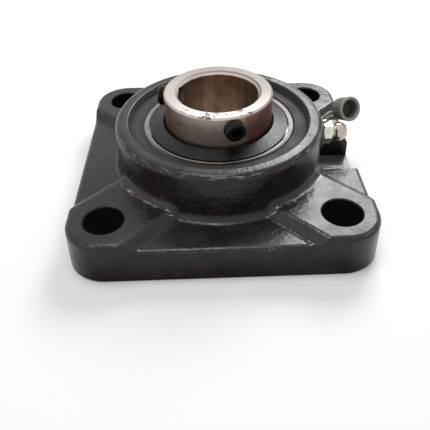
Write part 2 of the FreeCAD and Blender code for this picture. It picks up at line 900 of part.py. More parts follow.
sweep_round(nipple, "Revolution", "nipple_turned", nipple_turned, "H_Axis")
hex_flats = size("nipple_thread") + size("hex_shoulder")
hex_outline = hexagon(nipple, "hex_outline", hex_flats, hex_start)
push(nipple, "Pad", "hex", hex_outline, size("hex_height"))
core_corners = [
    (chamber_floor, 0),
    (chamber_floor, channel),
    (hex_end + 0.5, channel),
    (hex_end + 0.5, 0),
]
sweep_round(nipple, "Groove", "chamber", outline(nipple, "chamber_profile", "XZ_Plane", core_corners), "H_Axis")
way_corners = [(-7, 0), (-7, mouth), (hex_end, mouth), (hex_end, 0)]
sweep_round(nipple, "Groove", "way", outline(nipple, "way_profile", "XZ_Plane", way_corners), "H_Axis")
bind(nipple, "Placement.Base.x", spot_face)
bind(nipple, "Placement.Base.z", nipple_level)

check_ball = doc.addObject("Part::Sphere", "nipple_ball")
check_ball.Label = "nipple_ball"
bind(check_ball, "Radius", check_radius)
bind(check_ball, "Placement.Base.x", spot_face + tip - check_depth)
bind(check_ball, "Placement.Base.z", nipple_level)
doc.recompute()

# Coil spring behind the check ball. Its line is a coil of short straight runs, so that it meshes cleanly.
spring_start = (spot_face + chamber_floor + wire_radius + size("check_play")).value
spring_points = []
spring_steps = int(size("spring_steps").value)
for step in range(int(size("spring_turns").value) * spring_steps + 1):
    share = step / spring_steps
    around = 2 * math.pi * share
    spring_points.append(
        Vector(
            spring_start + size("spring_pitch").value * share,
            coil_radius.value * math.cos(around),
            nipple_level.value + coil_radius.value * math.sin(around),
        )
    )
spring_path = doc.addObject("Part::Feature", "spring_path")
spring_path.Shape = Part.makePolygon(spring_points)
wire = doc.addObject("Part::RegularPolygon", "spring_wire_outline")
wire.Polygon = 8
bind(wire, "Circumradius", wire_radius)
wire.Placement = Placement(
    spring_points[0],
    Rotation(Vector(0, 0, 1), spring_points[1] - spring_points[0]),
)
spring = doc.addObject("Part::Sweep", "nipple_spring")
spring.Label = "nipple_spring"
spring.Sections = [wire]
spring.Spine = (spring_path, [f"Edge{n + 1}" for n in range(len(spring_points) - 1)])
spring.Solid = True
spring.Transition = "Right corner"
doc.recompute()

# Cap of the nipple: a cup, a loop round the nipple's base and two strands between them.
lay_along_x = Placement(Vector(0, 0, 0), Rotation(Vector(0, 1, 0), 90))
hole_radius = size("cap_hole") / 2
closed_radius = hole_radius + size("cap_wall")
loop_place = spot_face + size("loop_gap")
loop_inner = thread_radius + size("loop_play")
loop_outer = loop_inner + size("loop_width")
loop_sheet = size("loop_sheet")
strap_radius = size("strap_size") / 2


def round_bar(label, kind, sizes, start=0):
    """A cylinder or cone of the Part module along the X axis, from `start` on."""
    item = doc.addObject(f"Part::{kind}", label)
    for path, value in sizes.items():
        bind(item, path, value)
    item.Placement = lay_along_x
    bind(item, "Placement.Base.x", start)
    return item


def cut(label, base, tool, x, y, z):
    """`base` less `tool`, moved to its place."""
    item = doc.addObject("Part::Cut", label)
    item.Base = base
    item.Tool = tool
    bind(item, "Placement.Base.x", x)
    bind(item, "Placement.Base.y", y)
    bind(item, "Placement.Base.z", z)
    return item


cup_length = size("cap_floor") + size("cap_depth")
cup_sizes = {"Radius1": closed_radius, "Radius2": closed_radius + size("cap_flare"), "Height": cup_length}
cup_outside = round_bar("cup_outside", "Cone", cup_sizes)
cup_hollow = {"Radius": hole_radius, "Height": size("cap_depth") + 1}
cup_inside = round_bar("cup_inside", "Cylinder", cup_hollow, size("cap_floor"))
cup_x = spot_face + size("cap_out")
cup_z = nipple_level + size("cap_up")
cup = cut("cup", cup_outside, cup_inside, cup_x, size("cap_aside"), cup_z)
bind(cup, "Placement.Rotation.Yaw", size("cap_yaw"))
bind(cup, "Placement.Rotation.Pitch", -size("cap_rise"))
loop_outside = round_bar("loop_outside", "Cylinder", {"Radius": loop_outer, "Height": loop_sheet})
loop_inside = round_bar("loop_inside", "Cylinder", {"Radius": loop_inner, "Height": loop_sheet})
loop = cut("loop", loop_outside, loop_inside, loop_place, 0, nipple_level)
doc.recompute()


def strand(place):
    """One strand of the strap, from the loop to the closed end of the cup."""
    turn = size(f"strap_{place}_start")
    cup_turn = size(f"strap_{place}_end")
    middle = (loop_inner + loop_outer) / 2
    start = Vector(
        (loop_place + loop_sheet / 2).value,
        (middle * turn.sine()).value,
        (nipple_level + middle * turn.cosine()).value,
    )
    on_cup = closed_radius - strap_radius
    end = cup.Placement.multVec(
        Vector(strap_radius.value, (on_cup * cup_turn.cosine()).value, (on_cup * cup_turn.sine()).value)
    )
    bulge = Vector(size(f"strap_{place}_bow").value, 0, size(f"strap_{place}_lift").value)
    curve = Part.BSplineCurve()
    curve.interpolate([start, (start + end) * 0.5 + bulge, end])
    path = doc.addObject("Part::Feature", f"strand_{place}_path")
    path.Shape = curve.toShape()
    section = doc.addObject("Part::Circle", f"strand_{place}_round")
    bind(section, "Radius", strap_radius)
    section.Placement = Placement(start, Rotation(Vector(0, 0, 1), curve.tangent(curve.FirstParameter)[0]))
    sweep = doc.addObject("Part::Sweep", f"strand_{place}")
    sweep.Sections = [section]
    sweep.Spine = (path, ["Edge1"])
    sweep.Solid = True
    return sweep


cap = doc.addObject("Part::MultiFuse", "nipple_cap")
cap.Label = "nipple_cap"
cap.Shapes = [cup, loop, strand("upper"), strand("lower")]
cap.Refine = True
doc.recompute()

# Checks and export.
PARTS = ["housing", "outer_ring", "inner_ring"]
PARTS += [f"ball_{index + 1}" for index in range(int(size("ball_count").value))]
PARTS += ["cage_upper", "cage_lower", "cage_rivets"]
PARTS += [f"{name}_{side}" for name in ("seal_plate", "seal_lip", "slinger") for side in ("upper", "lower")]
PARTS += ["set_screw_front", "set_screw_left", "nipple_body", "nipple_ball", "nipple_spring", "nipple_cap"]

for item in doc.Objects:
    if "Invalid" in item.State or "Error" in item.State:
        raise RuntimeError(f"{item.Label} did not build")
for label in PARTS:
    node = doc.getObjectsByLabel(label)[0]
    shape = node.Shape
    if shape.isNull() or not shape.isValid() or shape.Volume <= 0:
        raise RuntimeError(f"{label} has no valid shape")
    shape.exportStep(f"parts/{label}.step")
    print(label, len(shape.Solids), round(shape.Volume, 2))
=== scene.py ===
import math

import bpy
from bpy.props import FloatProperty, FloatVectorProperty, IntProperty, PointerProperty
from mathutils import Matrix, Vector


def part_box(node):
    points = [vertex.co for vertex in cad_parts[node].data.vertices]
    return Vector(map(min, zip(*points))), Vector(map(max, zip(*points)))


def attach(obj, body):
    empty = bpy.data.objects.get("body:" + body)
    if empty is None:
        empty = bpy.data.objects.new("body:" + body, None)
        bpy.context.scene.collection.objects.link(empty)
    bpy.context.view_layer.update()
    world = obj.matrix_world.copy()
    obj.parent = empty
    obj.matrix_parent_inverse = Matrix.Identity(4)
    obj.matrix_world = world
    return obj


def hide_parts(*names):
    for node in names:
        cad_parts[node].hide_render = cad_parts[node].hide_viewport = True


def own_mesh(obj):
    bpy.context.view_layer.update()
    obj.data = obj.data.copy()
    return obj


bl_info = {
    "name": "Flange bearing looks",
    "version": (1, 0, 0),
    "blender": (4, 5, 0),
    "location": "3D View > Sidebar > Bearing",
    "description": "Dresses the packed flange bearing with detailed pieces, finishes and a plain stage",
    "category": "Object",
}

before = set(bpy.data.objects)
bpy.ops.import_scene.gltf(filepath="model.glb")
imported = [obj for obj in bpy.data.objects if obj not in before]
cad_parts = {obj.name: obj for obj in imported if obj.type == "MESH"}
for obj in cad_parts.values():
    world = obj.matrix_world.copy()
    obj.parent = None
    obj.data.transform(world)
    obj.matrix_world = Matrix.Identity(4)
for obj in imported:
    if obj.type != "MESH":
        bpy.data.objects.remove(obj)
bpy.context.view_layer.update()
MM = 0.001


def colour(name, description, default):
    return FloatVectorProperty(
        name=name, description=description, default=default, size=3, min=0, max=1, subtype="COLOR"
    )


def length(name, description, default):
    return FloatProperty(
        name=name, description=description, default=default, min=0, unit="LENGTH", subtype="DISTANCE"
    )


def power(name, description, default):
    return FloatProperty(name=name, description=description, default=default, min=0, unit="POWER")


def share(name, description, default):
    return FloatProperty(name=name, description=description, default=default, min=0, max=1, subtype="FACTOR")


class BearingFinishes(bpy.types.PropertyGroup):
    paint: colour("Paint", "Black paint on the casting", (0.0165, 0.0165, 0.0172))
    # Darker, browner paint on walls: painted shade for the dark reflections walls show; also a brown haze on
    # the cap.
    wall_shade_and_brown: colour("Paint on walls", "Paint that runs thin on walls", (0.0165, 0.0098, 0.0078))
    # Pale paint: rubbed edges, and also painted glints and a painted reflection on the notch's floor.
    worn_and_highlight: colour("Worn paint", "Paint rubbed along edges", (0.26, 0.25, 0.24))
    # Painted highlight where the ring meets the ears.
    painted_glint: colour("Glint", "Paint that shines where the ring meets the ears", (0.62, 0.62, 0.62))
    # Near-black: painted shade inside the bolt holes and on the slingers, and the colour of random blotches
    # on the casting.
    hole: colour("Bolt hole", "Inside of the bolt holes", (0.003, 0.003, 0.003))
    rust: colour("Rust", "Rust at the foot of the ring and in one speck", (0.13, 0.056, 0.038))
    steel: colour("Ground steel", "Rings", (0.52, 0.495, 0.465))
    # A lighter copy of the ground steel: painted light on the inner ring's side and in its painted streaks.
    lit_steel_wall: colour("Steel wall", "Side of the inner ring", (0.72, 0.62, 0.545))
    # A darker copy of the ground steel: the outer ring's colour, toned down against the lamp's reflection,
    # and painted shade on the inner ring's top face.
    shaded_steel: colour("Steel rim", "Edge of the outer ring", (0.23, 0.215, 0.2))
    steel_bore: colour("Steel bore", "Inside of the bore", (0.56, 0.475, 0.38))
    steel_tint: colour("Steel tint", "Oil-brown film on the rings", (0.36, 0.185, 0.135))
    stain: colour("Stain", "Brown spots and haze on the rings", (0.09, 0.05, 0.035))
    ball: colour("Balls", "Polished balls", (0.8, 0.8, 0.82))
    sheet: colour("Sheet steel", "Cage, seal plates and spring", (0.55, 0.55, 0.57))
    rubber: colour("Seal rubber", "Seal lips", (0.03, 0.03, 0.03))
    slinger: colour("Slinger", "Dark slinger washers", (0.02, 0.0195, 0.021))
    screw: colour("Screws", "Black oxide on the set screws", (0.008, 0.007, 0.007))
    zinc: colour("Zinc", "Bright zinc on the grease nipple", (0.66, 0.65, 0.59))
    zinc_stain: colour("Zinc stain", "Brown haze on the nipple's head", (0.36, 0.27, 0.22))
    cap: colour("Cap", "Grey moulded cap", (0.155, 0.147, 0.12))
    cap_rim: colour("Cap rim", "Paler rim of the cap", (0.33, 0.33, 0.3))
    gloss: share("Paint roughness", "Roughness of the paint", 0.24)


class BearingSizes(bpy.types.PropertyGroup):
    bolt_place: length("Bolt place", "Bore axis to a bolt hole, along X and along Y", 35 * MM)
    bolt_hole: length("Bolt hole", "Radius of a bolt hole", 6 * MM)
    ring_top: length("Ring top", "Height of the housing's round wall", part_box("housing")[1].z)
    ear_top: length("Ear top", "Height of the bolt ears", 14 * MM)
    panel_top: length("Panel top", "Height of the panels between the ears", 11.2 * MM)
    shelf_top: length("Shelf top", "Height under which only the notch's floor faces up", 7 * MM)
    ring_wall: length("Ring wall", "Radius of the housing's round wall at its foot", 34.2 * MM)
    mouth: length("Mouth", "Radius inside which the housing is its own mouth", 29.1 * MM)
    wide_mouth: length("Wide mouth", "Radius inside which the mouth shows turned rings", 31 * MM)
    bore: length("Bore", "Radius of the inner ring's bore", 12.7 * MM)
    inner_ring: length("Inner ring", "Radius of the inner ring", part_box("inner_ring")[1].x)
    # The outer ring is darkened beyond this radius in front, as painted shade.
    outer_edge: length("Outer ring's edge", "Radius outside which the outer ring is greasy", 23.45 * MM)
    screw: length("Set screw", "Diameter of the set screws", 6.35 * MM)
    screw_length: length("Screw length", "Length of the set screws", 6.0 * MM)
    screw_reach: length("Screw reach", "Bore axis to the outer end of a set screw", 19.6 * MM)
    screw_steps: IntProperty(name="Screw steps", description="Steps round a set screw", default=36, min=12)
    screw_pitch: length("Thread pitch", "Pitch of the set screws", 0.75 * MM)
    screw_thread: length("Thread depth", "Depth of the set screws' thread", 0.42 * MM)
    screw_socket: length("Socket", "Width of the hexagon socket across flats", 3.2 * MM)
    screw_socket_depth: length("Socket depth", "Depth of the hexagon socket", 2.8 * MM)
    hex_flats: length("Nipple hexagon", "Width of the nipple's hexagon across flats", 7.0 * MM)
    spring_wire: length("Spring wire", "Thickness of the spring's wire", 0.26 * MM)
    strap: length("Strap", "Thickness of the cap's strap", 1.3 * MM)
    turn_steps: IntProperty(name="Turned steps", description="Steps round a turned piece", default=64, min=12)


class StageSettings(bpy.types.PropertyGroup):
    floor: colour("Floor", "Floor and backdrop", (0.86, 0.86, 0.86))
    floor_shade: colour("Floor shade", "Darker tone that clouds the floor", (0.8, 0.8, 0.8))
    floor_size: length("Floor size", "Length of the floor's sides", 4.0)
    floor_glow: share("Floor glow", "Light that the floor adds where the camera sees it", 0.2)
    far_glow: share("Far floor glow", "The same, away from the bearing where the lamps fall off", 0.75)
    room: share("Room light", "Even light of the room", 0.24)
    key: power("Key lamp", "Lamp behind and above", 1.9)
    fill: power("Fill lamp", "Lamp in front", 0.3)
    top: power("Top lamp", "Lamp overhead", 1.0)
    lens: FloatProperty(name="Lens", description="Camera's focal length in millimetres", default=42.73, min=1)


def finishes():
    return bpy.context.scene.bearing_finishes


def sizes():
    return bpy.context.scene.bearing_sizes


class Value:
    """The output of a shader node, on which arithmetic adds Math nodes."""

    def __init__(self, graph, socket):
        self.graph = graph
        self.socket = socket

    def math(self, operation, *inputs):
        return self.graph.node("ShaderNodeMath", {"operation": operation}, dict(enumerate(inputs)))

    def __add__(self, other):
        return self.math("ADD", self, other)

    def __sub__(self, other):
        return self.math("SUBTRACT", self, other)

    def __rsub__(self, other):
        return self.math("SUBTRACT", other, self)

    def __mul__(self, other):
        return self.math("MULTIPLY", self, other)

    def __truediv__(self, other):
        return self.math("DIVIDE", self, other)

    def __pow__(self, other):
        return self.math("POWER", self, other)

    def __abs__(self):
        return self.math("ABSOLUTE", self)

    __radd__ = __add__
    __rmul__ = __mul__

    def least(self, other):
        return self.math("MINIMUM", self, other)

    def rise(self, low, high):
        """0 below `low`, 1 above `high` and a smooth step between them."""
        settings = {"interpolation_type": "SMOOTHSTEP"}
        return self.graph.node("ShaderNodeMapRange", settings, {0: self, 1: low, 2: high, 3: 0.0, 4: 1.0})

    def band(self, middle, half_width):
        """1 at `middle`, falling smoothly to 0 at `half_width` from it."""
        return 1 - abs(self - middle).rise(0.0, half_width)


class Graph:
    """A tree of shader nodes and the shader that it feeds."""

    def __init__(self, tree, shader):
        self.tree = tree
        self.shader = tree.nodes[shader]

    def node(self, kind, settings, inputs, output=0):
        """Add a node of a type, with its settings, then the values or links of its inputs."""
        made = self.tree.nodes.new(kind)
        for name, value in settings.items():
            setattr(made, name, value)
        for name, value in inputs.items():
            self.feed(made.inputs[name], value)
        return Value(self, made.outputs[output])

    def feed(self, socket, value):
        """Link a node's output to a socket, or set a uniform value on the socket itself."""
        if isinstance(value, Value):
            self.tree.links.new(value.socket, socket)
        else:
            socket.default_value = value

    def mix(self, factor, one, other):
        """`one` where factor is 0 and `other` where it is 1, as colours."""
        inputs = {0: factor, 6: as_colour(one), 7: as_colour(other)}
        return self.node("ShaderNodeMix", {"data_type": "RGBA"}, inputs, 2)

    def seen(self):
        """1 where the camera sees this, straight or mirrored, and 0 where it lights other things."""
        kinds = ("Camera", "Glossy", "Transmission")
        path = [self.node("ShaderNodeLightPath", {}, {}, f"Is {kind} Ray") for kind in kinds]
        return (path[0] + path[1] + path[2]).least(1.0)

    def set(self, **inputs):
        """Feed the shader's inputs, by their names with underscores for spaces."""
        for name, value in inputs.items():
            self.feed(self.shader.inputs[name.replace("_", " ")], value)


class Finish(Graph):
    """A procedural material in the making, on the object's own coordinates in metres."""

    def __init__(self, name, **uniform):
        self.material = bpy.data.materials.new(name)
        self.material.use_nodes = True
        super().__init__(self.material.node_tree, "Principled BSDF")
        self.set(**uniform)
        self.place = self.node("ShaderNodeTexCoord", {}, {}, "Object")
        self.x, self.y, self.z = (self.part_of(self.place, axis) for axis in "XYZ")

    def part_of(self, vector, axis):
        return self.node("ShaderNodeSeparateXYZ", {}, {0: vector}, axis)

    def away(self, point):
        """Distance from a point."""
        return self.over_place("DISTANCE", point)

    def along(self, direction):
        """Length along a direction from the origin."""
        return self.over_place("DOT_PRODUCT", direction)

    def over_place(self, operation, vector):
        inputs = {0: self.place, 1: vector}
        return self.node("ShaderNodeVectorMath", {"operation": operation}, inputs, "Value")

    def radius(self):
        """Distance from the bore axis."""
        return (self.x * self.x + self.y * self.y) ** 0.5

    def upright(self):
        """1 where the surface looks up, 0 on a wall and -1 underneath."""
        return self.part_of(self.node("ShaderNodeTexCoord", {}, {}, "Normal"), "Z")

    def facing(self, angle, spread):
        """1 on the side at an angle about the bore axis, falling smoothly to 0 at `spread` from it."""
        direction = (math.cos(math.radians(angle)), math.sin(math.radians(angle)), 0.0)
        return (self.along(direction) / self.radius()).rise(math.cos(math.radians(spread)), 1.0)

    def noise(self, scale, detail=2.0, rough=0.5, place=None):
        inputs = {"Vector": place or self.place, "Scale": scale, "Detail": detail, "Roughness": rough}
        return self.node("ShaderNodeTexNoise", {}, inputs)

    def cells(self, scale):
        """Distance from the nearest of scattered points."""
        return self.node("ShaderNodeTexVoronoi", {}, {"Vector": self.place, "Scale": scale}, "Distance")

    def drawn_out(self, x, y, z, detail):
        """Noise on a place that is put together from three values."""
        return self.noise(1.0, detail, 0.6, self.node("ShaderNodeCombineXYZ", {}, {0: x, 1: y, 2: z}))

    def wrapped(self, around, height):
        """Noise on the direction from the bore axis, `around` fine, and on a height."""
        radius = self.radius()
        return self.drawn_out(self.x / radius * around, self.y / radius * around, height, 3.0)

    def streaks(self, around, upright):
        """Noise that runs along the bore axis, `around` fine round it and `upright` fine along it."""
        return self.wrapped(around, self.z * upright)

    def arcs(self, around, across):
        """Noise drawn out round the bore axis, `around` fine round it and `across` fine over it."""
        return self.wrapped(around, (self.radius() - self.z) * across)

    def turning(self, fine):
        """Noise in fine rings round the bore axis, as a lathe leaves."""
        return self.drawn_out(self.radius() * fine, self.z * fine, 0.0, 2.0)

    def bump(self, height, distance):
        """Raise the surface by `height` times `distance`, in metres."""
        inputs = {"Strength": 1.0, "Distance": distance, "Height": height}
        self.set(Normal=self.node("ShaderNodeBump", {}, inputs))


def as_colour(value):
    return value if isinstance(value, Value) else (*value, 1.0)


def dress(names, finish):
    """Give CAD nodes a finish through their material slots."""
    for name in names:
        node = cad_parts[name]
        if not node.data.materials:
            node.data.materials.append(finish.material)
        for slot in node.material_slots:
            slot.material = finish.material


def only(item=None):
    """Leave edit mode and select one object, or none."""
    if bpy.context.object and bpy.context.object.mode != "OBJECT":
        bpy.ops.object.mode_set(mode="OBJECT")
    bpy.ops.object.select_all(action="DESELECT")
    if item:
        item.select_set(True)
        bpy.context.view_layer.objects.active = item
    return item


def drawn(name, points):
    """A new mesh of one line, drawn by extruding a point in the XZ plane."""
    only()
    bpy.ops.mesh.primitive_plane_add(size=MM)
    item = bpy.context.object
    item.name = name
    bpy.ops.object.mode_set(mode="EDIT")
    bpy.ops.mesh.select_all(action="SELECT")
    bpy.ops.mesh.merge(type="CENTER")
    bpy.ops.transform.translate(value=(points[0][0], 0, points[0][1]))
    for before, after in zip(points, points[1:]):
        step = (after[0] - before[0], 0, after[1] - before[1])
        bpy.ops.mesh.extrude_vertices_move(TRANSFORM_OT_translate={"value": step})
    return item


def turned(name, points, steps=None):
    """A shape turned about the Z axis from a line of (radius, height) points."""
    item = drawn(name, points)
    bpy.ops.mesh.select_all(action="SELECT")
    bpy.ops.mesh.spin(steps=steps or sizes().turn_steps, angle=math.tau, center=(0, 0, 0), axis=(0, 0, 1))
    tidy_mesh()
    return only(item)


def tidy_mesh():
    """Merge what lies together and point the faces outwards."""
    bpy.ops.mesh.select_all(action="SELECT")
    bpy.ops.mesh.remove_doubles(threshold=0.002 * MM)
    bpy.ops.mesh.normals_make_consistent(inside=False)


def closed(points):
    return [*points, points[0]]


def modified(item, kind, **settings):
    """Add a modifier, set it and apply it."""
    only(item)
    bpy.ops.object.modifier_add(type=kind)
    modifier = item.modifiers[-1]
    for name, value in settings.items():
        setattr(modifier, name, value)
    bpy.ops.object.modifier_apply(modifier=modifier.name)
    return item


def combined(item, tool, operation):
    """Cut, join or trim a shape with another, which is then removed."""
    modified(item, "BOOLEAN", object=tool, operation=operation, solver="EXACT")
    bpy.data.objects.remove(tool)
    return item


def prism(name, corners, across_corners, low, high):
    """An upright prism between two heights."""
    only()
    bpy.ops.mesh.primitive_cylinder_add(vertices=corners, radius=across_corners / 2, depth=high - low)
    item = bpy.context.object
    item.name = name
    item.location = (0, 0, (low + high) / 2)
    bpy.ops.object.transform_apply(location=True, rotation=True, scale=True)
    return only(item)


def hexagon(name, across_flats, low, high):
    """An upright hexagonal prism between two heights."""
    return prism(name, 6, across_flats / math.cos(math.pi / 6), low, high)


def placed(item, point, direction, turn=0.0):
    """Lay a shape made along Z with its origin at a point and its Z axis along a direction."""
    only(item)
    spun = Matrix.Rotation(turn, 4, "Z")
    lean = Vector(direction).to_track_quat("Z", "Y").to_matrix().to_4x4()
    item.matrix_world = Matrix.Translation(point) @ lean @ spun
    bpy.ops.object.transform_apply(location=True, rotation=True, scale=True)
    return item


def finished(item, finish, body, nodes, angle):
    """Shade a piece, give it its finish and fix it to its body in place of its CAD nodes."""
    only(item)
    bpy.ops.object.shade_smooth_by_angle(angle=angle)
    item.data.materials.clear()
    item.data.materials.append(finish.material)
    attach(item, body)
    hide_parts(*nodes)
    return only(item)


def centre_of(node):
    low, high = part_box(node)
    return (low + high) / 2


class BEARING_OT_housing(bpy.types.Operator):
    """Paint the cast housing"""

    bl_idname = "bearing.housing"
    bl_label = "Housing"

    def execute(self, context):
        looks = finishes()
        size = sizes()
        paint = Finish("painted_casting", Specular_IOR_Level=0.36)
        upright = paint.upright()
        wall = 1 - abs(upright).rise(0.25, 0.8)
        radius = paint.radius()
        top = paint.z.rise(size.ring_top - 1.6 * MM, size.ring_top - 0.5 * MM)
        patches = paint.noise(70.0, 3.0, 0.6)
        grain = paint.noise(2300.0, 3.0, 0.6)
        lumps = paint.noise(720.0, 2.0, 0.5)
        broken = paint.noise(190.0, 2.0, 0.6).rise(0.42, 0.58)
        thin = paint.noise(130.0, 3.0, 0.6).rise(0.36, 0.62)

        # Walls take the darker, browner paint: painted shade for the dark reflections that walls show.
        shade = paint.mix(wall * (0.35 + patches * 0.9), looks.paint, looks.wall_shade_and_brown)
        shade = paint.mix((1 - thin) * (0.25 + wall * 0.5), shade, looks.hole)

        # Rubbed edges with painted glints along the crown and the panels' front edge, brighter to the right,
        # dust and the salt-like grain of the casting.
        crown = radius.band(size.ring_wall - 0.9 * MM, 0.9 * MM) * top
        glints = paint.arcs(9.0, 1300.0).rise(0.5, 0.6)
        flecks = paint.noise(1300.0, 3.0, 0.7).rise(0.56, 0.61)
        lip = paint.z.band(size.panel_top - 0.8 * MM, 0.9 * MM) * upright.band(0.7, 0.35)
        lip = lip * (1 - radius.rise(50 * MM, 51 * MM)) * (paint.x.rise(-30 * MM, 25 * MM) * 0.7 + 0.3)
        wear_and_glints = ((crown * glints + lip * flecks) * broken).least(1.0)
        dust = paint.noise(2000.0, 2.0, 0.6).rise(0.69, 0.74) * 0.6
        salt = grain.rise(0.52, 0.72) * lumps.rise(0.3, 0.62) * (0.05 + 0.1 * (1 - wall))
        shade = paint.mix((wear_and_glints + dust + salt).least(1.0), shade, looks.worn_and_highlight)

        # Painted highlights where the ring stands on the ears and along the ears' edges.
        foot = radius.band(size.ring_wall + 2 * MM, 0.9 * MM)
        foot = foot * paint.z.band(size.ear_top - 0.4 * MM, 2.6 * MM)
        corners = paint.facing(-132.0, 34.0) + paint.facing(-48.0, 34.0) + paint.facing(-90.0, 40.0) * 0.5
        brow = paint.z.band(size.ear_top - 0.5 * MM, 0.7 * MM) * upright.band(0.85, 0.13)
        brow = brow * patches.rise(0.45, 0.6)
        shine = (foot * corners + brow * 0.4) * glints * broken.rise(-0.6, 0.6)
        shade = paint.mix(shine.least(1.0), shade, looks.painted_glint)

        # The pale floor of the notch, a painted reflection of bright light, and the turned rings inside the
        # crown.
        notch_floor_sheen = 1 - paint.z.rise(size.shelf_top - 0.5 * MM, size.shelf_top + 0.5 * MM)
        notch_floor_sheen = notch_floor_sheen * upright.rise(0.7, 0.95)
        inside = 1 - radius.rise(size.wide_mouth - 0.5 * MM, size.wide_mouth + 0.5 * MM)
        rings = paint.turning(450.0).rise(0.35, 0.65) * inside
        shade = paint.mix(notch_floor_sheen * 0.4 + rings * 0.12, shade, looks.worn_and_highlight)

        # Rust: a tinge at the ring's foot and one speck on its wall.
        sides = paint.facing(-26.0, 26.0) + paint.facing(-150.0, 34.0)
        tinge = sides * radius.band(size.ring_wall + MM, 2.2 * MM) * broken
        tinge = tinge * (1 - thin * 0.5) * 0.3 * paint.z.rise(12 * MM, size.ear_top)
        shade = paint.mix(tinge, shade, looks.rust)
        speck = 1 - paint.away((-17.9 * MM, -29.1 * MM, 17.1 * MM)).rise(0.3 * MM, 1.0 * MM)
        shade = paint.mix(speck * paint.noise(1200.0).rise(0.3, 0.5), shade, looks.rust)

        # Painted shade: the bolt holes are darkened inside.
        across = abs(paint.x) - size.bolt_place
        along = abs(paint.y) - size.bolt_place
        from_bolt = (across * across + along * along) ** 0.5
        hole = 1 - from_bolt.rise(size.bolt_hole - 0.1 * MM, size.bolt_hole + 0.2 * MM)
        shade = paint.mix(hole, shade, looks.hole)

        # Painted shade: Metallic takes the shine off the nearly black paint in the holes, low on the walls,
        # more towards the floor, and on the crown's front and right side.
        mouth = 1 - radius.rise(size.mouth - 0.5 * MM, size.mouth + 0.5 * MM)
        dull = (hole + mouth).least(1.0)
        low = wall * (1 - paint.z.rise(1 * MM, 11 * MM)) * (0.45 + patches * 0.6)
        low = low + top * (paint.facing(-95.0, 55.0) * 0.6 + paint.facing(10.0, 80.0) * 0.7) * patches
        roughness = looks.gloss - 0.1 + patches * 0.12 + thin * 0.12 + dull * 0.4
        paint.set(Base_Color=shade, Metallic=(hole + low).least(1.0), Roughness=roughness)
        swell = paint.noise(110.0, 2.0, 0.5)
        pits = (1 - paint.cells(330.0).rise(0.06, 0.2)) * paint.noise(60.0).rise(0.5, 0.62)
        paint.bump(grain * 0.17 + lumps * 0.6 + swell * 1.8 - pits * 0.5, 0.16 * MM)
        dress(["housing"], paint)
        return {"FINISHED"}


